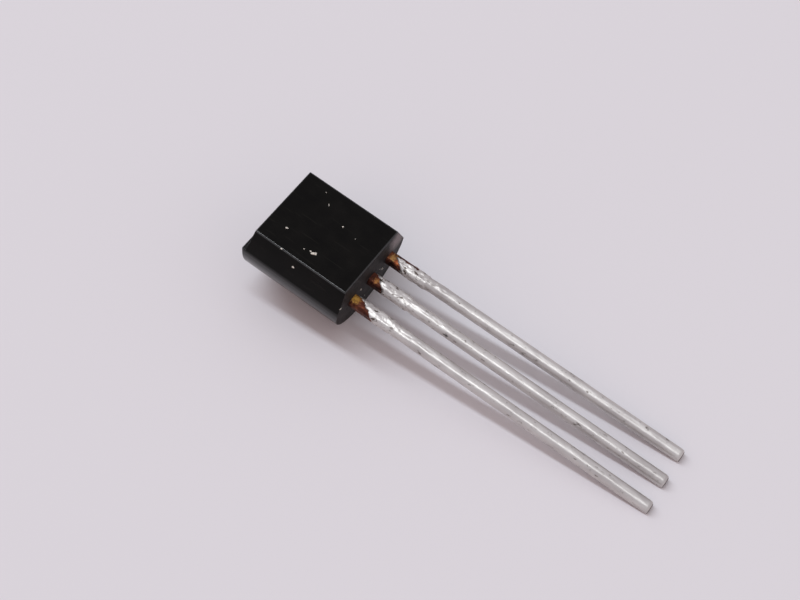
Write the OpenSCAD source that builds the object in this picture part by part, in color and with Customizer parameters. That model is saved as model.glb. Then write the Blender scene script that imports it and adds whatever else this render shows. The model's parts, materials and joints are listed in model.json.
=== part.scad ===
// Three-lead voltage regulator in a moulded case, lying as it comes to rest:
// flat face up, tipped onto the lower lead-end edge of its round back and the
// cut ends of its leads.
//
// Case frame, used by every module: +X along the leads with 0 at the flat's
// top edge, +Z out of the flat with 0 on the flat, leads spread along Y.
// as_it_lies() turns that frame into the resting one, whose origin is the
// centre of the box's underside.

/* [Moulded case] */
// Length of the flat along the leads
flat_len = 4.45; // [4.25:0.05:5.2]
// Width of the flat
flat_w = 3.60; // [3.0:0.05:4.2]
// Width of the case, twice the radius of its round back
case_w = 4.58; // [4.4:0.02:5.2]
// Depth from the flat to the mould's parting plane
front_depth = 1.02; // [0.9:0.02:1.3]
// Straight land between the parting plane and the round back
land_depth = 0.33; // [0.2:0.01:0.6]
// Draft angle of the front half's two ends
front_draft = 5.5; // [2:0.5:10]
// Draft angle of the back half's two ends
back_draft = 2.5; // [1:0.5:6]
// Step by which the back half stands out past the front half at the top end
ledge = 0.18; // [0.05:0.01:0.3]
// Radius on the flat's edges
edge_r = 0.06; // [0.02:0.01:0.15]
// Diameter of the ejector-pin mark on the round back
ejector_d = 1.0; // [0.6:0.1:1.4]
// Depth of the ejector-pin mark
ejector_depth = 0.12; // [0.12:0.01:0.2]
// Width of the broken gate at the top end
gate_w = 1.2; // [0.6:0.1:2]
// Thickness of the broken gate
gate_t = 0.22; // [0.1:0.01:0.3]
// Height of the broken gate
gate_h = 0.04; // [0.02:0.01:0.1]

/* [Leads] */
// Distance between neighbouring leads
pitch = 1.27; // [1.2:0.01:1.4]
// Thickness of the stamped copper sheet
lead_t = 0.38; // [0.3:0.01:0.5]
// Width of a lead
lead_w = 0.46; // [0.38:0.01:0.52]
// Length of a lead outside the case
lead_len = 14.1; // [12.7:0.1:16]
// Width of a lead from the case to the sheared tie bar
root_w = 0.54; // [0.54:0.01:0.62]
// Length of that wider root outside the case
root_len = 1.9; // [1.5:0.1:2.5]

/* [Solder coat] */
// Thickness of the solder dipped onto a lead
coat_t = 0.03; // [0.02:0.005:0.06]
// Bare copper between the case and the solder
bare_len = 0.9; // [0.3:0.1:1.3]
// Radius on the coat's long edges
coat_r = 0.06; // [0.03:0.01:0.06]

/* [Die pad and bond posts] */
// Length of the die pad
pad_len = 2.0; // [1.8:0.05:2.1]
// Width of the die pad
pad_w = 2.1; // [1.7:0.1:2.8]
// Corner cut at the pad's top end
pad_cut = 0.25; // [0.1:0.05:0.4]
// Gap between the pad and the bond posts
pad_gap = 0.35; // [0.25:0.05:0.5]
// Length of a bond post
post_len = 0.9; // [0.7:0.05:1.0]
// Width of a bond post
post_w = 1.0; // [0.8:0.05:1.2]
// Lead inside the case between its post and the lead-end face
post_set = 0.75; // [0.6:0.05:0.9]
// Diameter of the holes that lock the frame into the moulding
lock_d = 0.34; // [0.2:0.02:0.38]
// Distance of a lock hole's centre from the edge behind it
lock_set = 0.30; // [0.26:0.02:0.34]

/* [Silicon die] */
// Length of the die
die_len = 1.1; // [0.8:0.05:1.15]
// Width of the die
die_w = 1.3; // [1.0:0.05:1.6]
// Thickness of the die
die_t = 0.28; // [0.15:0.01:0.35]
// Bare pad between the die and the pad's lead end
die_set = 0.25; // [0.15:0.05:0.3]
// Thickness of the attach layer under the die
attach_t = 0.03; // [0.02:0.005:0.06]
// Fillet of attach that shows around the die
attach_rim = 0.05; // [0.02:0.01:0.1]

/* [Bond wires] */
// Diameter of a bond wire
wire_d = 0.05; // [0.05:0.005:0.08]
// Diameter of the ball on the die
ball_d = 0.12; // [0.1:0.01:0.16]
// Height of the ball
ball_h = 0.04; // [0.02:0.005:0.06]
// Height of the loop's peak above the die
loop_h = 0.24; // [0.15:0.01:0.3]
// Diameter of the wire over the bend, where it is drawn thinner
bend_d = 0.046; // [0.026:0.002:0.046]
// Distance of a bond from the edges of the die
bond_set = 0.15; // [0.1:0.01:0.25]
// Diameter of the flattened bond at the wire's far end
stitch_d = 0.14; // [0.12:0.01:0.18]
// Height of that flattened bond
stitch_h = 0.02; // [0.01:0.005:0.04]
// Distance of that bond from the post's inner edge
stitch_set = 0.20; // [0.15:0.01:0.25]

/* [Hidden] */

round_fn = 64;   // every circle is a true one
reach = 1;       // how far a cutting shape runs past what it cuts

case_color = "#1b1b1d";
copper_color = "#b26a3c";
solder_color = "#c6c5c6";
die_color = "#5a6478";
attach_color = "#9c9ca2";
wire_color = "#d8ac4a";

// Case: radius, depths and the ends at the parting plane and at the back
back_r = case_w / 2;
back_z = -(front_depth + land_depth);
case_depth = front_depth + land_depth + back_r;
front_out = front_depth * tan(front_draft);
back_in = (case_depth - front_depth) * tan(back_draft);
top_x = -front_out - ledge;
exit_x = flat_len + front_out;

// Lead frame, worked back from the lead-end face
frame_z = -front_depth - lead_t;
tip_x = exit_x + lead_len;
post_x1 = exit_x - post_set;
post_x0 = post_x1 - post_len;
pad_x1 = post_x0 - pad_gap;
pad_x0 = pad_x1 - pad_len;
coat_x = exit_x + bare_len;
step_x = exit_x + root_len;

// Die and bonds
die_x1 = pad_x1 - die_set;
die_z = -front_depth + attach_t;
die_top = die_z + die_t;
bond_x = die_x1 - bond_set;
bond_y = die_w / 2 - bond_set;
stitch_x = post_x0 + stitch_set;
bend_r = loop_h - ball_h / 2;   // the bend leaves the ball at half its height
wire_lap = wire_d / 5;          // how far the straight reaches back over the bend

// Rest: the back's lead-end edge and the coated tips both touch the surface
heel = [exit_x - back_in, -case_depth];
toe = [tip_x, frame_z - coat_t];
tilt = atan2(toe[1] - heel[1], toe[0] - heel[0]);
lift = heel[0] * sin(tilt) - heel[1] * cos(tilt);
low_x = (top_x + back_in) * cos(tilt) - case_depth * sin(tilt);
high_x = tip_x * cos(tilt) + (coat_t - front_depth) * sin(tilt);
centre_x = (low_x + high_x) / 2;

// From the case frame to the resting frame
module as_it_lies() {
    translate([-centre_x, 0, lift]) rotate([0, tilt, 0]) children();
}

// Extrudes a profile drawn in (Y, Z) along X, from x0 to x1
module along_x(x0, x1) {
    translate([x0, 0, 0]) rotate([90, 0, 90]) linear_extrude(x1 - x0) children();
}

// Extrudes a profile drawn in (X, Z) across the whole case
module across_y() {
    rotate([90, 0, 0]) linear_extrude(2 * case_w, center = true) children();
}

// Extrudes an outline drawn in (X, Y) through the frame's sheet
module stamped() {
    translate([0, 0, frame_z]) linear_extrude(lead_t) children();
}

function unit(v) = v / norm(v);
function corner(p, i, k) = p[(i + k + len(p)) % len(p)];
// Half the angle inside corner i of a convex outline
function half_angle(p, i) =
    acos(unit(corner(p, i, -1) - p[i]) * unit(corner(p, i, 1) - p[i])) / 2;
// Centre of the arc of radius r that rounds corner i
function arc_centre(p, i, r) =
    p[i] + unit(unit(corner(p, i, -1) - p[i]) + unit(corner(p, i, 1) - p[i]))
         * r / sin(half_angle(p, i));
// Where that arc leaves the side towards corner i + k
function tangent(p, i, k, r) =
    p[i] + unit(corner(p, i, k) - p[i]) * r / tan(half_angle(p, i));

// Convex outline whose corner i is rounded to radii[i], 0 leaving it sharp
module eased(p, radii) {
    polygon([for (i = [0:len(p) - 1]) each radii[i] > 0
        ? [tangent(p, i, -1, radii[i]), tangent(p, i, 1, radii[i])] : [p[i]]]);
    for (i = [0:len(p) - 1]) if (radii[i] > 0)
        translate(arc_centre(p, i, radii[i])) circle(r = radii[i], $fn = round_fn);
}

// Front half: flat, two sloping side facets and two drafted ends
module front_half() {
    intersection() {
        along_x(-reach, exit_x + reach)
            eased([[-flat_w / 2, 0], [flat_w / 2, 0],
                   [back_r, -front_depth], [-back_r, -front_depth]],
                  [edge_r, edge_r, 0, 0]);
        across_y()
            eased([[0, 0], [flat_len, 0],
                   [exit_x, -front_depth], [-front_out, -front_depth]],
                  [edge_r, edge_r, 0, 0]);
    }
}

// Back half: straight land and half round, its ends drafted the other way
module back_half() {
    intersection() {
        along_x(top_x - reach, exit_x + reach) {
            translate([-back_r, back_z]) square([case_w, land_depth]);
            intersection() {
                translate([0, back_z]) circle(r = back_r, $fn = round_fn);
                translate([-back_r, back_z - back_r]) square([case_w, back_r]);
            }
        }
        across_y()
            polygon([[top_x, -front_depth], [exit_x, -front_depth],
                     [exit_x - back_in, -case_depth], [top_x + back_in, -case_depth]]);
    }
}

// Stub left where the moulding was broken from its runner
module broken_gate() {
    translate([top_x - gate_h, -gate_w / 2, -front_depth - gate_t])
        cube([gate_h + ledge, gate_w, gate_t]);
}

module ejector_mark() {
    translate([(top_x + exit_x) / 2, 0, -case_depth - reach])
        cylinder(d = ejector_d, h = reach + ejector_depth, $fn = round_fn);
}

// Lead from x to the cut tip or past it, on the centreline y, with its root
module lead_outline(x, y, past = 0) {
    translate([x, y - root_w / 2]) square([step_x - x, root_w]);
    translate([x, y - lead_w / 2]) square([tip_x + past - x, lead_w]);
}

module lock_hole(x, y) {
    translate([x, y]) circle(d = lock_d, $fn = round_fn);
}

// Outer lead on the centreline y, ending inside in a bond post
module outer_lead(y) {
    stamped() difference() {
        union() {
            lead_outline(post_x0, y);
            translate([post_x0, y - post_w / 2]) square([post_len, post_w]);
        }
        lock_hole(post_x1 - lock_set, y);
    }
}

// Middle lead, ending inside in the pad that carries the die
module middle_lead() {
    stamped() difference() {
        union() {
            lead_outline(pad_x1 - root_w, 0);
            polygon([[pad_x0, pad_cut - pad_w / 2], [pad_x0 + pad_cut, -pad_w / 2],
                     [pad_x1, -pad_w / 2], [pad_x1, pad_w / 2],
                     [pad_x0 + pad_cut, pad_w / 2], [pad_x0, pad_w / 2 - pad_cut]]);
        }
        lock_hole(pad_x0 + lock_set, 0);
    }
}

// Solder all round one stretch of a lead of width w
module coat_stretch(x0, x1, y, w) {
    dy = w / 2 + coat_t;
    z0 = frame_z - coat_t;
    z1 = -front_depth + coat_t;
    along_x(x0, x1)
        eased([[y - dy, z1], [y + dy, z1], [y + dy, z0], [y - dy, z0]],
              [coat_r, coat_r, coat_r, coat_r]);
}

// Sleeve of solder, open at the cut tip where the copper shows
module solder_coat(y) {
    difference() {
        union() {
            coat_stretch(coat_x, step_x + coat_t, y, root_w);
            coat_stretch(step_x, tip_x, y, lead_w);
        }
        stamped() lead_outline(exit_x, y, reach);
    }
}

module die_block() {
    translate([die_x1 - die_len, -die_w / 2, die_z]) cube([die_len, die_w, die_t]);
}

module attach_layer() {
    translate([die_x1 - die_len - attach_rim, -die_w / 2 - attach_rim, -front_depth])
        cube([die_len + 2 * attach_rim, die_w + 2 * attach_rim, attach_t]);
}

// Wire from the die at (bond_x, y0) to the frame at (stitch_x, y1): ball, bend
// over the peak, the straight that is tangent to that bend, flattened end
module bond_wire(y0, y1) {
    frame_drop = die_top + front_depth;
    span = norm([stitch_x - bond_x, y1 - y0]);
    far = span - bend_r;
    fall = loop_h + frame_drop - bend_r;
    slope = atan2(fall, far) + asin(bend_r / norm([far, fall]));
    run = sqrt(far * far + fall * fall - bend_r * bend_r);
    translate([bond_x, y0, die_top]) rotate([0, 0, atan2(y1 - y0, stitch_x - bond_x)]) {
        cylinder(d = ball_d, h = ball_h, $fn = round_fn);
        translate([bend_r, 0, loop_h - bend_r]) rotate([90, 0, 180])
            rotate_extrude(angle = 90 + slope, $fn = round_fn)
                translate([bend_r, 0]) circle(d = bend_d, $fn = round_fn);
        difference() {
            translate([bend_r * (1 + sin(slope)), 0, loop_h - bend_r * (1 - cos(slope))])
                rotate([0, 90 + slope, 0]) translate([0, 0, -wire_lap])
                    cylinder(d = wire_d, h = wire_lap + run + wire_d, $fn = round_fn);
            translate([bend_r, -reach, -frame_drop - reach])
                cube([span + reach, 2 * reach, reach]);
        }
        translate([span, 0, -frame_drop])
            cylinder(d = stitch_d, h = stitch_h, $fn = round_fn);
    }
}

module moulded_case() {
    color(case_color) as_it_lies() difference() {
        union() {
            front_half();
            back_half();
            broken_gate();
        }
        ejector_mark();
        middle_lead();
        outer_lead(-pitch);
        outer_lead(pitch);
        die_block();
        attach_layer();
        bond_wire(-bond_y, -pitch);
        bond_wire(0, 0);
        bond_wire(bond_y, pitch);
    }
}

module adjust_lead() { color(copper_color) as_it_lies() outer_lead(-pitch); }
module output_lead() { color(copper_color) as_it_lies() middle_lead(); }
module input_lead() { color(copper_color) as_it_lies() outer_lead(pitch); }
module adjust_solder_coat() { color(solder_color) as_it_lies() solder_coat(-pitch); }
module output_solder_coat() { color(solder_color) as_it_lies() solder_coat(0); }
module input_solder_coat() { color(solder_color) as_it_lies() solder_coat(pitch); }
module silicon_die() { color(die_color) as_it_lies() die_block(); }
module die_attach() { color(attach_color) as_it_lies() attach_layer(); }
module adjust_bond_wire() { color(wire_color) as_it_lies() bond_wire(-bond_y, -pitch); }
module output_bond_wire() { color(wire_color) as_it_lies() bond_wire(0, 0); }
module input_bond_wire() { color(wire_color) as_it_lies() bond_wire(bond_y, pitch); }

moulded_case();
adjust_lead();
output_lead();
input_lead();
adjust_solder_coat();
output_solder_coat();
input_solder_coat();
silicon_die();
die_attach();
adjust_bond_wire();
output_bond_wire();
input_bond_wire();
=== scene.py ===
import json
import math

import bmesh
import bpy
from mathutils import Matrix, Vector, noise


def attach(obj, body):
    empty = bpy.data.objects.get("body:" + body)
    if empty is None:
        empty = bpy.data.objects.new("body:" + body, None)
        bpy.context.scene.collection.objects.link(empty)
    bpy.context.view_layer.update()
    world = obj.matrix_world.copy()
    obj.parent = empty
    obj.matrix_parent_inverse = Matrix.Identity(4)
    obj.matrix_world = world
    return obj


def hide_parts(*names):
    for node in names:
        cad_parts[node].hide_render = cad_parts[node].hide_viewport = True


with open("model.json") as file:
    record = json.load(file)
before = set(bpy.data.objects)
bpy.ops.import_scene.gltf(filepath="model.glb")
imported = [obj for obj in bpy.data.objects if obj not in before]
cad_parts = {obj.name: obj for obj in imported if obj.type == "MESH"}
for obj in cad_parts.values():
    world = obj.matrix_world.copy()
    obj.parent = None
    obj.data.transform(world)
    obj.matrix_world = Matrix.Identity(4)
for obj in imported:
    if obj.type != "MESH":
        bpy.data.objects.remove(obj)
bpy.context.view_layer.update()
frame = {"nodes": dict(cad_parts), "record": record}

# Camera: a long lens above the lead tips, on the adjust lead's side, held level and aimed at the
# middle of the part.
mm = 0.001
camera_place = (13.6257, -23.7660, 47.5091)  # in millimetres
camera_tip, camera_turn = 32.532, 35.031  # in degrees

camera_data = bpy.data.cameras.new("camera")
camera_data.sensor_width = 36
camera_data.lens = 60.14
camera_data.clip_start = 1 * mm
camera_data.clip_end = 2
camera = bpy.data.objects.new("camera", camera_data)
camera.location = [part * mm for part in camera_place]
camera.rotation_euler = (math.radians(camera_tip), 0, math.radians(camera_turn))
bpy.context.scene.collection.objects.link(camera)
bpy.context.scene.camera = camera
bpy.context.scene.view_settings.view_transform = "Standard"


# Floor: one plain pale sheet that the part lies on, matte, with a trace of lilac.
floor_colour = (0.70, 0.705, 0.76, 1)
floor_half = 1.5


def new_piece(name, bm):
    """An object at the origin with the finished bmesh as its mesh."""
    mesh = bpy.data.meshes.new(name)
    bm.to_mesh(mesh)
    bm.free()
    piece = bpy.data.objects.new(name, mesh)
    bpy.context.scene.collection.objects.link(piece)
    return piece


def new_material(name, **sockets):
    """A material with those values on its shader, its node tree and its shader."""
    material = bpy.data.materials.new(name)
    material.use_nodes = True
    shader = material.node_tree.nodes["Principled BSDF"]
    for socket, value in sockets.items():
        shader.inputs[socket.replace("_", " ")].default_value = value
    return material, material.node_tree, shader


sheet = bmesh.new()
bmesh.ops.create_grid(sheet, x_segments=1, y_segments=1, size=floor_half)
floor = new_piece("floor", sheet)
floor_paint = new_material("floor_paint", Base_Color=floor_colour, Roughness=1.0,
                           Specular_IOR_Level=0.0)[0]
floor.data.materials.append(floor_paint)

# Light: one long tube lamp overhead, in line with the leads and reaching past the case, and a
# sky that is warm on the adjust lead's side and dimmer low on the input lead's side. The camera
# and the metal see a plain pale backdrop in its place.
lamp_distance = 1.2
tube_length, tube_width = 1.5, 0.13
tube_share = 0.50
tube_colour = (0.94, 1.0, 1.04)
towards_tube = Vector((-0.36, 0.0, 0.93)).normalized()
backdrop_colour = (0.66, 0.64, 0.69, 1)
# From the adjust lead's side, at 0, to the input lead's side, at 1
sky_stops = ((0.32, (0.70, 0.545, 0.515, 1)), (0.58, (0.72, 0.65, 0.63, 1)),
             (0.76, (0.56, 0.55, 0.55, 1)), (0.95, (0.30, 0.29, 0.29, 1)))

tube_lamp_data = bpy.data.lights.new("tube_lamp", "AREA")
tube_lamp_data.shape = "RECTANGLE"
tube_lamp_data.size = tube_length
tube_lamp_data.size_y = tube_width
tube_lamp_data.color = tube_colour
tube_lamp_data.energy = math.pi ** 2 * lamp_distance ** 2 * tube_share
tube_lamp = bpy.data.objects.new("tube_lamp", tube_lamp_data)
tube_lamp.location = towards_tube * lamp_distance
tube_lamp.rotation_euler = (0, math.atan2(towards_tube.x, towards_tube.z), 0)
bpy.context.scene.collection.objects.link(tube_lamp)


def ramp(tree, source, *stops):
    """A colour ramp on that output, through (position, colour) stops."""
    node = tree.nodes.new("ShaderNodeValToRGB")
    elements = node.color_ramp.elements
    while len(elements) < len(stops):
        elements.new(0.5)
    for element, (position, colour) in zip(elements, stops):
        element.position = position
        element.color = colour if isinstance(colour, tuple) else (colour, colour, colour, 1)
    tree.links.new(source, node.inputs["Fac"])
    return node.outputs["Color"]


def blend(tree, factor, first, second, blend_type="MIX"):
    """Mixes two colours or outputs by a factor or output."""
    node = tree.nodes.new("ShaderNodeMix")
    node.data_type = "RGBA"
    node.blend_type = blend_type
    for socket, value in ((0, factor), (6, first), (7, second)):
        if isinstance(value, bpy.types.NodeSocket):
            tree.links.new(value, node.inputs[socket])
        else:
            node.inputs[socket].default_value = value
    return node.outputs[2]


sky = bpy.data.worlds.new("studio_sky")
sky.use_nodes = True
bpy.context.scene.world = sky
sky_tree = sky.node_tree
sky_direction = sky_tree.nodes.new("ShaderNodeTexCoord")
sky_parts = sky_tree.nodes.new("ShaderNodeSeparateXYZ")
sky_tree.links.new(sky_direction.outputs["Generated"], sky_parts.inputs["Vector"])
across_sky = sky_tree.nodes.new("ShaderNodeMath")
across_sky.operation = "MULTIPLY_ADD"
across_sky.inputs[1].default_value = 0.5
across_sky.inputs[2].default_value = 0.5
sky_tree.links.new(sky_parts.outputs["Y"], across_sky.inputs[0])
light_path = sky_tree.nodes.new("ShaderNodeLightPath")
shows_backdrop = light_path.outputs["Is Camera Ray"]
for ray in ("Is Glossy Ray", "Is Transmission Ray"):
    either = sky_tree.nodes.new("ShaderNodeMath")
    either.operation = "MAXIMUM"
    sky_tree.links.new(shows_backdrop, either.inputs[0])
    sky_tree.links.new(light_path.outputs[ray], either.inputs[1])
    shows_backdrop = either.outputs["Value"]
sky_colours = ramp(sky_tree, across_sky.outputs["Value"], *sky_stops)
sky_colour = blend(sky_tree, shows_backdrop, sky_colours, backdrop_colour)
sky_tree.links.new(sky_colour, sky_tree.nodes["Background"].inputs["Color"])

# Moulded case: black filled epoxy, pressed round the lead frame in a two-part mould. Its front
# half has a flat and two sloping facets, and its back half is round and stands out at the top
# end, where the stub of the broken gate is left.
flat_length, flat_width = 4.45, 3.60
back_radius = 2.29
front_depth, land_depth = 1.02, 0.33
front_draft, back_draft = math.radians(5.5), math.radians(2.5)
ledge = 0.18
gate_width, gate_thickness, gate_height = 1.2, 0.22, 0.04
ejector_radius, ejector_depth = 0.5, 0.12
flat_edge_radius, case_edge_radius = 0.042, 0.035
back_steps = 72

land_z = -front_depth - land_depth
case_depth = front_depth + land_depth + back_radius
front_out = front_depth * math.tan(front_draft)
back_in = (case_depth - front_depth) * math.tan(back_draft)
top_x = -front_out - ledge
exit_x = flat_length + front_out

# From the case's own frame, in millimetres with the flat's top edge at 0, to where the part rests
flat_mount = next(m for m in frame["record"]["mounts"] if m["name"] == "case_flat")
tilt = math.atan2(flat_mount["axis"][0], flat_mount["axis"][2])
at_rest = (
    Matrix.Translation(flat_mount["pos_m"])
    @ Matrix.Rotation(tilt, 4, "Y")
    @ Matrix.Translation((-flat_length / 2 * mm, 0, 0))
    @ Matrix.Scale(mm, 4)
)


def set_down(bm):
    """Moves a finished shape from the case's frame to its resting place."""
    bmesh.ops.recalc_face_normals(bm, faces=bm.faces)
    bmesh.ops.transform(bm, matrix=at_rest, verts=bm.verts)


def with_borders(faces):
    """The faces with their edges and corners, each once."""
    return list(dict.fromkeys(g for f in faces for g in (f, *f.edges, *f.verts)))


def extrude(bm, faces):
    """Extrudes the faces where they are, leaves no wall behind and returns the new geometry."""
    return bmesh.ops.extrude_face_region(bm, geom=with_borders(faces))["geom"]


def only_verts(geometry):
    """The corners in that geometry, without its edges and faces."""
    return [g for g in geometry if isinstance(g, bmesh.types.BMVert)]


case = bmesh.new()
rim = case.verts.new((top_x, -back_radius, -front_depth))
corner = case.verts.new((top_x, -back_radius, land_z))
case.edges.new((rim, corner))
bmesh.ops.spin(case, geom=[corner], cent=(top_x, 0, land_z), axis=(1, 0, 0),
               angle=math.pi, steps=back_steps)
last = max(case.verts, key=lambda v: (v.co.y, v.co.z))
far_rim = bmesh.ops.extrude_vert_indiv(case, verts=[last])["verts"][0]
far_rim.co.z = -front_depth
bmesh.ops.contextual_create(case, geom=list(case.edges))
body_end = only_verts(extrude(case, case.faces))
bmesh.ops.translate(case, verts=body_end, vec=(exit_x - top_x, 0, 0))
bmesh.ops.recalc_face_normals(case, faces=case.faces)

# Draft on the back half's two ends
for vert in case.verts:
    lean = (-front_depth - vert.co.z) * math.tan(back_draft)
    vert.co.x += lean if vert.co.x < 0 else -lean

# Front half, raised from the parting plane and drawn in to the flat
parting = max(case.faces, key=lambda f: f.calc_center_median().z)
bmesh.ops.bisect_plane(case, geom=with_borders([parting]),
                       plane_co=(-front_out, 0, 0), plane_no=(1, 0, 0))
seat = [f for f in case.faces if f.normal.z > 0.99 and f.calc_center_median().x > 0]
for vert in only_verts(extrude(case, seat)):
    vert.co.z = 0
    vert.co.x = 0 if vert.co.x < 1 else flat_length
    vert.co.y *= flat_width / 2 / back_radius

# Broken gate, just under the parting plane at the top end
gate_z = -front_depth - gate_thickness


def top_end_faces(above):
    """The back half's faces at the top end whose middle is above that height."""
    return [f for f in case.faces
            if f.normal.x < -0.9 and f.calc_center_median().x < top_x + back_in
            and f.calc_center_median().z > above]


for above, plane_co, plane_no in ((-case_depth, (0, 0, gate_z), (0, 0, 1)),
                                  (gate_z, (0, -gate_width / 2, 0), (0, 1, 0)),
                                  (gate_z, (0, gate_width / 2, 0), (0, 1, 0))):
    bmesh.ops.bisect_plane(case, geom=with_borders(top_end_faces(above)),
                           plane_co=plane_co, plane_no=plane_no)
stub = [f for f in top_end_faces(gate_z)
        if abs(f.calc_center_median().y) < 0.01 and f.calc_center_median().x < top_x + 0.05]
bmesh.ops.translate(case, verts=only_verts(extrude(case, stub)), vec=(-gate_height, 0, 0))
bmesh.ops.recalc_face_normals(case, faces=case.faces)


def convex_edges(bm, low, high):
    """Convex edges whose faces turn by between low and high degrees."""
    return [e for e in bm.edges
            if len(e.link_faces) == 2 and e.is_convex
            and math.radians(low) < e.calc_face_angle(0) < math.radians(high)]


# Edges: a clear radius round the flat, and a smaller one wherever the mould's steel was sharp.
# The shallow ridge between each facet and the back half stays as it is.
polished, dull, glossy = 1, 2, 3
flat_edges = [e for e in convex_edges(case, 20, 120) if all(v.co.z > -0.001 for v in e.verts)]
rounded = bmesh.ops.bevel(case, geom=flat_edges, affect="EDGES", offset=flat_edge_radius,
                          segments=5, profile=0.5, material=-1, clamp_overlap=True)
for face in rounded["faces"]:
    face.material_index = polished
bmesh.ops.bevel(case, geom=convex_edges(case, 27, 120), affect="EDGES", offset=case_edge_radius,
                segments=3, profile=0.5, material=-1, clamp_overlap=True)
for face in case.faces:
    if abs(face.normal.x) > 0.95:
        face.material_index = dull
    elif face.calc_center_median().z < -front_depth:
        face.material_index = glossy

# Round mark of the ejector pin in the middle of the back, with a flat floor and a steep wall
mark_x = (top_x + exit_x) / 2
mark_reach = ejector_radius + 0.1
mark_step = 0.02
wall_half = 0.004


def lowest_faces(reach):
    """The back's lowest faces whose middle is no farther than that from the mark's, each way."""
    return [f for f in case.faces if f.normal.z < -0.9
            and abs(f.calc_center_median().x - mark_x) < reach
            and abs(f.calc_center_median().y) < reach]


for end_sign in (-1, 1):
    bmesh.ops.bisect_plane(case, geom=with_borders(lowest_faces(flat_length)),
                           plane_co=(mark_x + end_sign * mark_reach, 0, 0), plane_no=(1, 0, 0))
# A fine grid there: first cut into steps along the case, then across each of its strips
for along, cuts in ((0, round(2 * mark_reach / mark_step) - 1), (1, 4)):
    rows = [e for e in dict.fromkeys(e for f in lowest_faces(mark_reach) for e in f.edges)
            if abs(e.verts[0].co[along] - e.verts[1].co[along]) > 2 * mark_step]
    bmesh.ops.subdivide_edges(case, edges=rows, cuts=cuts, use_grid_fill=True)
for vert in case.verts:
    from_mark = Vector((vert.co.x - mark_x, vert.co.y))
    if vert.co.z > land_z - 1 or from_mark.length > ejector_radius + mark_step:
        continue
    inside = from_mark.length < ejector_radius
    if abs(from_mark.length - ejector_radius) < 0.8 * mark_step:
        from_mark *= (ejector_radius + (-wall_half if inside else wall_half)) / from_mark.length
        vert.co.x, vert.co.y = mark_x + from_mark.x, from_mark.y
    if inside:
        vert.co.z = -case_depth + ejector_depth
set_down(case)
moulding = new_piece("case_moulding", case)
moulding.data.shade_smooth()
moulding.data.set_sharp_from_angle(angle=math.radians(42))
evened = moulding.modifiers.new("even_normals", "WEIGHTED_NORMAL")
evened.keep_sharp = True


def pattern(tree, kind, scale, stretch=(1, 1, 1), **settings):
    """A texture node on the piece's own coordinates; scale is in features per millimetre."""
    coordinates = tree.nodes.new("ShaderNodeTexCoord")
    mapping = tree.nodes.new("ShaderNodeMapping")
    mapping.inputs["Scale"].default_value = [scale / mm * s for s in stretch]
    mapping.inputs["Rotation"].default_value = settings.pop("turn", (0, 0, 0))
    texture = tree.nodes.new(kind)
    texture.inputs["Scale"].default_value = 1
    for socket, value in settings.items():
        if socket in texture.inputs:
            texture.inputs[socket].default_value = value
        else:
            setattr(texture, socket, value)
    tree.links.new(coordinates.outputs["Object"], mapping.inputs["Vector"])
    tree.links.new(mapping.outputs["Vector"], texture.inputs["Vector"])
    return texture


def relief(tree, shader, *layers):
    """Bump on the shader from (output, height in millimetres, strength) layers."""
    below = None
    for output, height, strength in layers:
        bump = tree.nodes.new("ShaderNodeBump")
        bump.inputs["Distance"].default_value = height * mm
        bump.inputs["Strength"].default_value = strength
        tree.links.new(output, bump.inputs["Height"])
        if below:
            tree.links.new(below, bump.inputs["Normal"])
        below = bump.outputs["Normal"]
    tree.links.new(below, shader.inputs["Normal"])


def patch(tree, ripple, centre, radius):
    """1 round a point of the case's frame, falling to 0 at the radius, both in millimetres."""
    waver = Vector((0.5, 0.5, 0.5)) * mm
    full_share = 0.3
    coordinates = tree.nodes.new("ShaderNodeTexCoord")
    shifted = tree.nodes.new("ShaderNodeVectorMath")
    shifted.operation = "MULTIPLY_ADD"
    shifted.inputs[1].default_value = waver
    tree.links.new(ripple, shifted.inputs[0])
    tree.links.new(coordinates.outputs["Object"], shifted.inputs[2])
    away = tree.nodes.new("ShaderNodeVectorMath")
    away.operation = "DISTANCE"
    tree.links.new(shifted.outputs["Vector"], away.inputs[0])
    away.inputs[1].default_value = at_rest @ Vector(centre) + waver / 2
    fall = tree.nodes.new("ShaderNodeMapRange")
    fall.inputs["From Min"].default_value = radius * mm
    fall.inputs["From Max"].default_value = radius * full_share * mm
    tree.links.new(away.outputs["Value"], fall.inputs["Value"])
    return fall.outputs["Result"]


# Epoxy: near black, with a fine filler grain, soft flow mottling, hair scuffs and a few pale
# filler specks. The flat's edges are rubbed smooth, and the two ends are left dull by the mould,
# with painted light on one corner of the lead end, a paler patch where that corner is unshaded.
# The order is that of the faces' material index.
black_low, black_high = (0.0022, 0.0020, 0.0017), (0.0046, 0.0041, 0.0034)
scuffed, pale_filler, pale_roughness = (0.014, 0.013, 0.011, 1), (0.5, 0.5, 0.48, 1), 0.7
# Painted light: a paler patch on the lead end's far corner, where that end is unshaded and lit
painted_light_corner, painted_light_radius, painted_light_epoxy = (exit_x, 1.85, -0.55), 0.75, (0.24, 0.21, 0.215, 1)

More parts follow.
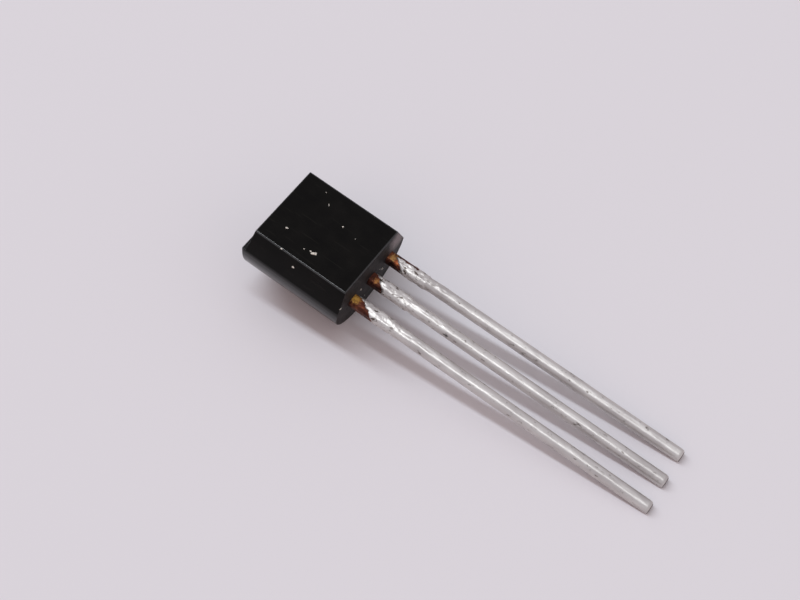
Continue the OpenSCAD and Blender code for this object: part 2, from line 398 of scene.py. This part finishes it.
for name, specular, smooth, rough, lift in (("satin_epoxy", 0.09, 0.18, 0.28, 0.9),
                                            ("rubbed_epoxy", 0.80, 0.14, 0.22, 1.0),
                                            ("dull_epoxy", 0.16, 0.55, 0.7, 1.5),
                                            ("glossy_epoxy", 0.26, 0.16, 0.26, 1.0)):
    epoxy, tree, shader = new_material(name, Specular_IOR_Level=specular)
    flow = pattern(tree, "ShaderNodeTexNoise", 1.3, Detail=3)
    grain = pattern(tree, "ShaderNodeTexNoise", 22, Detail=3)
    scuff = pattern(tree, "ShaderNodeTexNoise", 1.1, stretch=(0.7, 14, 1), Detail=4,
                    turn=(0, 0, 0.5))
    speck = pattern(tree, "ShaderNodeTexVoronoi", 1.5, Randomness=1.0)
    speck_pick = tree.nodes.new("ShaderNodeSeparateColor")
    tree.links.new(speck.outputs["Color"], speck_pick.inputs["Color"])
    picked = ramp(tree, speck_pick.outputs["Red"], (0.80, 0.0), (0.81, 1.0))
    dot = ramp(tree, speck.outputs["Distance"], (0.045, 1.0), (0.07, 0.0))
    pale = blend(tree, 1.0, picked, dot, "MULTIPLY")
    scuff_line = ramp(tree, scuff.outputs["Fac"], (0.62, 0.0), (0.70, 0.35))
    black = ramp(tree, flow.outputs["Fac"], (0.3, (*(part * lift for part in black_low), 1)),
                 (0.75, (*(part * lift for part in black_high), 1)))
    finish = blend(tree, scuff_line, black, scuffed)
    if name == "dull_epoxy":
        blotch = pattern(tree, "ShaderNodeTexNoise", 4.5, Detail=4, Roughness=0.6)
        chalky = ramp(tree, blotch.outputs["Fac"], (0.36, (0.006, 0.006, 0.006, 1)),
                      (0.64, (0.024, 0.020, 0.020, 1)), (0.80, (0.045, 0.039, 0.039, 1)))
        finish = blend(tree, 1.0, finish, chalky, "ADD")
        # Painted light on the lead end's far corner, blended over the epoxy's own colour
        painted_light_mask = patch(tree, blotch.outputs["Color"], painted_light_corner, painted_light_radius)
        finish = blend(tree, painted_light_mask, finish, painted_light_epoxy)
    tree.links.new(blend(tree, pale, finish, pale_filler), shader.inputs["Base Color"])
    sheen = ramp(tree, flow.outputs["Fac"], (0.3, smooth), (0.7, rough))
    chalk = (pale_roughness, pale_roughness, pale_roughness, 1)
    tree.links.new(blend(tree, pale, sheen, chalk), shader.inputs["Roughness"])
    relief(tree, shader, (grain.outputs["Fac"], 0.004, 0.35), (flow.outputs["Fac"], 0.03, 0.15))
    moulding.data.materials.append(epoxy)
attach(moulding, "root")
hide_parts("moulded_case")

# Leads: stamped from copper sheet with slightly rounded long edges, gone brown and orange near
# the case where they were heated. The middle one widens into the die's pad and the outer ones
# into bond posts, all inside the case.
pitch = 1.27
lead_thickness, lead_width, root_width = 0.38, 0.46, 0.54
lead_length, root_length = 14.1, 1.9
rolled_radius, burr_radius = 0.15, 0.04
pad_length, pad_width, pad_cut, pad_gap = 2.0, 2.1, 0.25, 0.35
post_length, post_width, post_setback = 0.9, 1.0, 0.75
step_taper = 0.02
corner_steps, shortest_side = 6, 0.13
bend_stations, shear_stations = 24, 6

tip_x = exit_x + lead_length
step_x = exit_x + root_length
post_end = exit_x - post_setback
post_start = post_end - post_length
pad_end = post_start - pad_gap
pad_start = pad_end - pad_length
lead_z = -front_depth - lead_thickness / 2
centrelines = (("adjust", -pitch), ("output", 0), ("input", pitch))

# Each lead as it was handled: splay in mm and twist in degrees at the tip, and how far in mm past
# its nominal length the cutter left it. The cutter drags the upper edges down over the last
# stretch, and the faces in the last bit of it are bare sheared copper.
handling = {"adjust": (-0.02, -1.5, 0.09), "output": (0.0, -2.0, 0.05), "input": (0.05, 4.5, 0.02)}
shear_length, shear_drop, shear_pinch = 0.16, 0.22, 0.14
cut_depth = 0.03


def share(value, low, high):
    """How far the value is on its way from low to high, from 0 to 1."""
    return min(1, max(0, (value - low) / (high - low)))


def hand_bent(bm, name, y):
    """Bends the lead, or its solder, as handling did, and rolls its edges over at the cut."""
    splay, twist, longer = handling[name]
    burr_z = lead_z - lead_thickness / 2
    for vert in bm.verts:
        to_cut = share(vert.co.x, tip_x + longer - shear_length, tip_x + longer)
        vert.co.z = burr_z + (vert.co.z - burr_z) * (1 - shear_drop * to_cut ** 2)
        vert.co.y = y + (vert.co.y - y) * (1 - shear_pinch * to_cut ** 2)
        along = share(vert.co.x, step_x, tip_x)
        turn = Matrix.Rotation(math.radians(twist) * min(1, 4 * along), 3, "X")
        axis = Vector((vert.co.x, y, lead_z))
        vert.co = axis + turn @ (vert.co - axis)
        vert.co.y += splay * along ** 0.5


def bar_end(bm, x, y, width, across=0):
    """The end face of a stamped bar: upper edges rolled by the punch, lower ones nearly sharp.

    Each of its flat sides gets that many cuts across it.
    """
    grid = bmesh.ops.create_grid(bm, x_segments=1, y_segments=1, size=0.5)
    bmesh.ops.rotate(bm, verts=grid["verts"], matrix=Matrix.Rotation(math.pi / 2, 3, "Y"))
    bmesh.ops.scale(bm, verts=grid["verts"], vec=(1, width, lead_thickness))
    bmesh.ops.translate(bm, verts=grid["verts"], vec=(x, y, lead_z))
    upper = [v for v in grid["verts"] if v.co.z > lead_z]
    lower = [v for v in grid["verts"] if v.co.z < lead_z]
    for verts, radius in ((upper, rolled_radius), (lower, burr_radius)):
        bmesh.ops.bevel(bm, geom=verts, affect="VERTICES", offset=radius,
                        segments=corner_steps, profile=0.5, material=-1)
    if across:
        sides = [e for e in bm.edges if e.calc_length() > shortest_side]
        bmesh.ops.subdivide_edges(bm, edges=sides, cuts=across)
    return bm.faces[:]


def draw_out(bm, end, x, y, wider=0.0):
    """Extrudes the bar's end face to x, and makes it wider about the centreline y."""
    grown = extrude(bm, end)
    flat_half = lead_width / 2 - rolled_radius
    for vert in only_verts(grown):
        off = vert.co.y - y
        vert.co.x = x
        vert.co.y += wider / 2 * max(-1, min(1, off / flat_half))
    return [g for g in grown if isinstance(g, bmesh.types.BMFace)]


# Copper: dark red-brown where it was heated, with one or two painted highlights on each root:
# brighter orange patches where the root catches the light
painted_highlight_patches = (((4.68, -1.24, -front_depth), 0.26, (0.46, 0.25, 0.055, 1)),
                  ((4.86, -0.06, -front_depth), 0.17, (0.34, 0.15, 0.05, 1)),
                  ((4.76, 1.26, -front_depth), 0.20, (0.36, 0.20, 0.07, 1)),
                  ((5.02, 1.12, -front_depth), 0.16, (0.40, 0.12, 0.045, 1)))
copper, tree, shader = new_material("heated_copper", Metallic=1.0)
tarnish = pattern(tree, "ShaderNodeTexNoise", 2.6, Detail=4, Roughness=0.55)
fine = pattern(tree, "ShaderNodeTexNoise", 17, Detail=4)
metal = ramp(tree, tarnish.outputs["Fac"],
             (0.36, (0.035, 0.014, 0.011, 1)), (0.52, (0.105, 0.034, 0.022, 1)),
             (0.64, (0.21, 0.070, 0.032, 1)), (0.78, (0.36, 0.15, 0.06, 1)))
# Painted highlights: brighter orange patches on the roots, where they catch the light
for centre, radius, colour in painted_highlight_patches:
    metal = blend(tree, patch(tree, fine.outputs["Color"], centre, radius), metal, colour)
tree.links.new(metal, shader.inputs["Base Color"])
tree.links.new(ramp(tree, fine.outputs["Fac"], (0.3, 0.32), (0.7, 0.5)), shader.inputs["Roughness"])
relief(tree, shader, (tarnish.outputs["Fac"], 0.04, 0.6), (fine.outputs["Fac"], 0.010, 0.6))

# The sheared end faces are rough and have gone dull and dark
cut_copper, tree, shader = new_material("cut_copper", Metallic=0.2, Roughness=0.75,
                                        Specular_IOR_Level=0.15)
drag = pattern(tree, "ShaderNodeTexNoise", 9, stretch=(1, 1, 0.25), Detail=3)
tree.links.new(ramp(tree, drag.outputs["Fac"], (0.35, (0.020, 0.012, 0.010, 1)),
                    (0.65, (0.085, 0.040, 0.026, 1))), shader.inputs["Base Color"])
relief(tree, shader, (drag.outputs["Fac"], 0.02, 0.7))

for name, y in centrelines:
    lead = bmesh.new()
    if name == "output":
        end = bar_end(lead, pad_start, y, pad_width - 2 * pad_cut)
        end = draw_out(lead, end, pad_start + pad_cut, y, 2 * pad_cut)
        end = draw_out(lead, end, pad_end, y)
        end = draw_out(lead, end, pad_end + step_taper, y, root_width - pad_width)
    else:
        end = bar_end(lead, post_start, y, post_width)
        end = draw_out(lead, end, post_end, y)
        end = draw_out(lead, end, post_end + step_taper, y, root_width - post_width)
    end = draw_out(lead, end, step_x, y)
    end = draw_out(lead, end, step_x + step_taper, y, lead_width - root_width)
    cut_x = tip_x + handling[name][2]
    shear_x = cut_x - shear_length
    for station in range(1, bend_stations + 1):
        x = step_x + step_taper + (shear_x - step_x - step_taper) * station / bend_stations
        end = draw_out(lead, end, x, y)
    for station in range(1, shear_stations + 1):
        end = draw_out(lead, end, shear_x + shear_length * station / shear_stations, y)
    for face in lead.faces:
        face.material_index = int(face.calc_center_median().x > cut_x - cut_depth)
    hand_bent(lead, name, y)
    set_down(lead)
    stamping = new_piece(name + "_lead_stamping", lead)
    stamping.data.shade_smooth()
    stamping.data.set_sharp_from_angle(angle=math.radians(35))
    stamping.data.materials.append(copper)
    stamping.data.materials.append(cut_copper)
    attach(stamping, "root")
    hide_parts(name + "_lead")

# Solder skins: the leads are dipped after moulding, so the solder starts in a ragged edge a
# little off the case, is lumpy and pitted over the wide root, and runs thin and smooth to the
# cut tip, where the copper shows.
coat_thickness, thin_coat, thinnest_coat = 0.03, 0.006, 0.003
sunk = 0.012
skin_start, skin_taper, cut_back = 0.02, 0.06, 0.02
across_side = 8
edge_reach = 0.16
calm_from, calm_length = step_x - 0.4, 3.5
bump_height = 0.03
shortest_rail = 0.01

# Where the solder starts on each lead's near and far edge, and how far the far edge stays bare
solder_starts = {"adjust": (5.56, 4.58, 0.0), "output": (5.22, 4.58, 0.0),
                 "input": (5.22, 4.66, 1.1)}

# Waves in the solder: per mm along, the lead's own seed, the wave's seed, round the lead, height
lump_waves = ((2.2, 3, 1, 3, 0.9), (6, 5, 4, 5, 0.45), (15, 2, 9, 9, 0.20))
run_waves = ((0.9, 4, 2, 2.6, 0.5), (3.1, 6, 7, 4, 0.22))


def rippled(waves, x, y, side):
    """The sum of the waves at a point of the lead on the centreline y."""
    return sum(noise.noise(Vector((x * along, lead_seed * y, seed)) + side * round_it) * height
               for along, lead_seed, seed, round_it, height in waves)


def lump_height(point, y, half_width, starts):
    """How far the solder stands off the copper at a point of the lead's surface, in mm."""
    near_start, far_start, bare_edge = starts
    x = point.x
    across_at = (point.y - y) / half_width
    up_at = (point.z - lead_z) / (lead_thickness / 2)
    side = Vector((0, across_at * 0.55, up_at * 0.45))
    # The edge where it starts wanders, and the far corner stays bare in a ragged strip
    start = near_start + (far_start - near_start) * (across_at + 1) / 2
    ragged = noise.noise(Vector((x * 3.5, 8, up_at * 1.5))) * 0.3
    bare = share(across_at + ragged, 0.3, 0.7) * share(up_at + ragged, -0.1, 0.4)
    start += bare_edge * bare
    start += noise.noise(Vector((x * 0.9 + 7 * y, 0, 0)) + side * 4.5) * 0.12
    rise = share(x, start, start + edge_reach)
    rise = rise * rise * (3 - 2 * rise)
    # Quick lumps near the case, long calm runs beyond, and next to nothing at the cut
    calm = share(x, calm_from, calm_from + calm_length)
    lumps = rippled(lump_waves, x, y, side)
    runs = rippled(run_waves, x, y, side)
    towards_cut = max(0.1, share(x, tip_x, tip_x - 0.4))
    bumps = (lumps * (1 - calm) + runs * (0.3 + 0.1 * calm)) * towards_cut
    # Molten solder draws back from the corners and stands highest along the middle of each side
    from_middle = min(1, abs(across_at), abs(up_at))
    full = thin_coat + (coat_thickness - thin_coat) * (1 - from_middle ** 2) + bump_height * bumps
    return -sunk + (max(full, thinnest_coat) + sunk) * rise


# Solder: bright grey with dark pits, many of them near the case, and one black crumb of flux
flux_place, flux_radius = (8.39, -0.24, -1.13), 0.11
solder, tree, shader = new_material("dipped_solder", Metallic=1.0)
clouds = pattern(tree, "ShaderNodeTexNoise", 1.6, stretch=(0.4, 1, 1), Detail=4)
pits = pattern(tree, "ShaderNodeTexNoise", 7, stretch=(0.5, 1, 1), Detail=4, Roughness=0.6)
streaks = pattern(tree, "ShaderNodeTexNoise", 9, stretch=(0.12, 1, 1), Detail=3)
coordinates = tree.nodes.new("ShaderNodeTexCoord")
place = tree.nodes.new("ShaderNodeSeparateXYZ")
tree.links.new(coordinates.outputs["Object"], place.inputs["Vector"])
near_case = tree.nodes.new("ShaderNodeMapRange")
near_case.inputs["From Min"].default_value = (at_rest @ Vector((step_x + 0.7, 0, lead_z))).x
near_case.inputs["From Max"].default_value = (at_rest @ Vector((step_x - 0.6, 0, lead_z))).x
tree.links.new(place.outputs["X"], near_case.inputs["Value"])
grey = ramp(tree, clouds.outputs["Fac"], (0.32, (0.50, 0.47, 0.45, 1)),
            (0.68, (0.66, 0.63, 0.60, 1)))
few = ramp(tree, pits.outputs["Fac"], (0.28, 0.8), (0.39, 0.0))
many = ramp(tree, pits.outputs["Fac"], (0.36, 1.0), (0.44, 0.0))
pitted = blend(tree, near_case.outputs["Result"], few, many)
stained = blend(tree, pitted, grey, (0.10, 0.075, 0.06, 1))
flux_crumb = patch(tree, pits.outputs["Color"], flux_place, flux_radius)
stained = blend(tree, flux_crumb, stained, (0.004, 0.003, 0.003, 1))
tree.links.new(stained, shader.inputs["Base Color"])
smooth_run = ramp(tree, pits.outputs["Fac"], (0.3, 0.50), (0.7, 0.38))
fresh = ramp(tree, pits.outputs["Fac"], (0.3, 0.55), (0.7, 0.36))
tree.links.new(blend(tree, near_case.outputs["Result"], smooth_run, fresh),
               shader.inputs["Roughness"])
relief(tree, shader, (streaks.outputs["Fac"], 0.012, 0.4), (pits.outputs["Fac"], 0.016, 0.6))

for name, y in centrelines:
    cut_x = tip_x + handling[name][2]
    skin = bmesh.new()
    end = bar_end(skin, exit_x + skin_start, y, root_width, across_side)
    # Each span's far end, how much wider the lead gets over it, and the stations along it
    spans = ((step_x, 0, 90), (step_x + skin_taper, lead_width - root_width, 3),
             (step_x + 2.0, 0, 60), (cut_x - shear_length, 0, 250),
             (cut_x - cut_back, 0, 7))
    for x, wider, stations in spans:
        before = set(skin.edges)
        end = draw_out(skin, end, x, y, wider)
        rails = [e for e in skin.edges if e not in before
                 and abs(e.verts[0].co.x - e.verts[1].co.x) > shortest_rail]
        bmesh.ops.subdivide_edges(skin, edges=rails, cuts=stations, use_grid_fill=True)
    for vert in skin.verts:
        half_width = (root_width if vert.co.x <= step_x else lead_width) / 2
        above = vert.co.z > lead_z
        radius = rolled_radius if above else burr_radius
        core_y = y + min(half_width - radius, max(radius - half_width, vert.co.y - y))
        core_z = lead_z + (1 if above else -1) * (lead_thickness / 2 - radius)
        if abs(vert.co.z - lead_z) < abs(core_z - lead_z):
            core_z = vert.co.z
        outward = Vector((0, vert.co.y - core_y, vert.co.z - core_z))
        if outward.length > 1e-6:
            height = lump_height(vert.co.copy(), y, half_width, solder_starts[name])
            vert.co += outward.normalized() * height
    hand_bent(skin, name, y)
    set_down(skin)
    coat = new_piece(name + "_solder_skin", skin)
    coat.data.shade_smooth()
    coat.data.set_sharp_from_angle(angle=math.radians(60))
    coat.data.materials.append(solder)
    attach(coat, "root")
    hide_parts(name + "_solder_coat")

# Solder spatter and painted glints: dull crumbs and flakes that the dip threw on the flat and the
# near facet, and pale crumbs on the lead end that are painted glints where that end catches the
# light. Each one is stuck to the epoxy by its underside.
facet_lean = math.atan2(front_depth, back_radius - flat_width / 2)
facings = {"flat": Matrix.Identity(4), "facet": Matrix.Rotation(facet_lean, 4, "X"),
           "end": Matrix.Rotation(math.pi / 2, 4, "Y")}
ragged_share = 0.75
spatter_and_glints = (
    # centre in the case's frame, length, width, height, turn about the face's normal, face
    ((2.45, -1.16, 0), 0.13, 0.048, 0.025, 30, "flat"),
    ((2.27, -1.16, 0), 0.04, 0.03, 0.02, 30, "flat"),
    ((0.89, -0.91, 0), 0.055, 0.035, 0.02, 10, "flat"),
    ((2.59, 0.56, 0), 0.04, 0.03, 0.02, 70, "flat"),
    ((2.00, -1.24, 0), 0.03, 0.022, 0.015, 0, "flat"),
    ((1.54, 1.02, 0), 0.05, 0.014, 0.012, 125, "flat"),
    ((3.31, 0.42, 0), 0.016, 0.014, 0.01, 0, "flat"),
    ((1.10, 1.42, 0), 0.018, 0.014, 0.01, 0, "flat"),
    ((1.30, -1.80, -0.01), 0.035, 0.03, 0.025, 5, "flat"),
    ((2.05, -1.987, -0.39), 0.045, 0.045, 0.02, 0, "facet"),
    # Painted glints: the four pale crumbs on the lead end stand where the end catches the light
    ((4.513, 0.93, -1.78), 0.03, 0.06, 0.03, 20, "end"),
    ((4.515, 0.70, -1.50), 0.025, 0.025, 0.02, 0, "end"),
    ((4.541, -0.71, -1.19), 0.035, 0.045, 0.03, 40, "end"),
    ((4.525, -2.10, -0.78), 0.02, 0.05, 0.02, 0, "end"),
)
spatter = bmesh.new()
for number, (centre, length, width, height, turn, face_name) in enumerate(spatter_and_glints):
    crumb = bmesh.ops.create_icosphere(spatter, subdivisions=3, radius=1)["verts"]
    for vert in crumb:
        vert.co *= 1 + ragged_share * noise.noise(vert.co * 1.3 + Vector((number * 3.1, 0, 0)))
    bmesh.ops.scale(spatter, verts=crumb, vec=(length, width, height))
    bmesh.ops.rotate(spatter, verts=crumb, matrix=Matrix.Rotation(math.radians(turn), 3, "Z"))
    onto_case = Matrix.Translation(centre) @ facings[face_name]
    bmesh.ops.transform(spatter, verts=crumb, matrix=onto_case)
set_down(spatter)
crumbs = new_piece("solder_spatter_and_glints", spatter)
crumbs.data.shade_smooth()
# Pale crumb colour: dull solder on the flat and facet, painted glints on the lead end
dull_solder_and_glint_paint, tree, shader = new_material("dull_solder_and_glint_paint", Metallic=0.2)
crust = pattern(tree, "ShaderNodeTexNoise", 25, Detail=4)
tree.links.new(ramp(tree, crust.outputs["Fac"], (0.35, (0.42, 0.40, 0.36, 1)),
                    (0.6, (0.80, 0.78, 0.72, 1))), shader.inputs["Base Color"])
tree.links.new(ramp(tree, crust.outputs["Fac"], (0.3, 0.7), (0.7, 0.4)),
               shader.inputs["Roughness"])
relief(tree, shader, (crust.outputs["Fac"], 0.008, 0.7))
crumbs.data.materials.append(dull_solder_and_glint_paint)
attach(crumbs, "root")

# Inside the moulding: the chip, the metal-filled paste that holds it to the pad, and the gold
# wires from it to the leads. The case hides them, and they keep their own solids.
silicon, tree, shader = new_material("polished_silicon", Metallic=0.6, Roughness=0.12)
lattice = pattern(tree, "ShaderNodeTexVoronoi", 9, Randomness=0.0, distance="CHEBYCHEV")
tree.links.new(ramp(tree, lattice.outputs["Distance"],
                    (0.38, (0.10, 0.12, 0.17, 1)), (0.46, (0.30, 0.27, 0.20, 1))),
               shader.inputs["Base Color"])
paste, tree, shader = new_material("attach_paste", Metallic=0.8)
filler = pattern(tree, "ShaderNodeTexVoronoi", 40)
tree.links.new(ramp(tree, filler.outputs["Distance"],
                    (0.1, (0.50, 0.50, 0.52, 1)), (0.8, (0.30, 0.30, 0.32, 1))),
               shader.inputs["Base Color"])
tree.links.new(ramp(tree, filler.outputs["Distance"], (0.1, 0.35), (0.8, 0.6)),
               shader.inputs["Roughness"])
gold, tree, shader = new_material("gold_wire", Metallic=1.0)
drawn = pattern(tree, "ShaderNodeTexNoise", 30, Detail=2)
tree.links.new(ramp(tree, drawn.outputs["Fac"],
                    (0.3, (0.80, 0.52, 0.17, 1)), (0.7, (0.95, 0.68, 0.28, 1))),
               shader.inputs["Base Color"])
tree.links.new(ramp(tree, drawn.outputs["Fac"], (0.3, 0.18), (0.7, 0.3)),
               shader.inputs["Roughness"])
for node_name, finish in (("silicon_die", silicon), ("die_attach", paste),
                          ("adjust_bond_wire", gold), ("output_bond_wire", gold),
                          ("input_bond_wire", gold)):
    node = frame["nodes"][node_name]
    node.data.materials.clear()
    node.data.materials.append(finish)
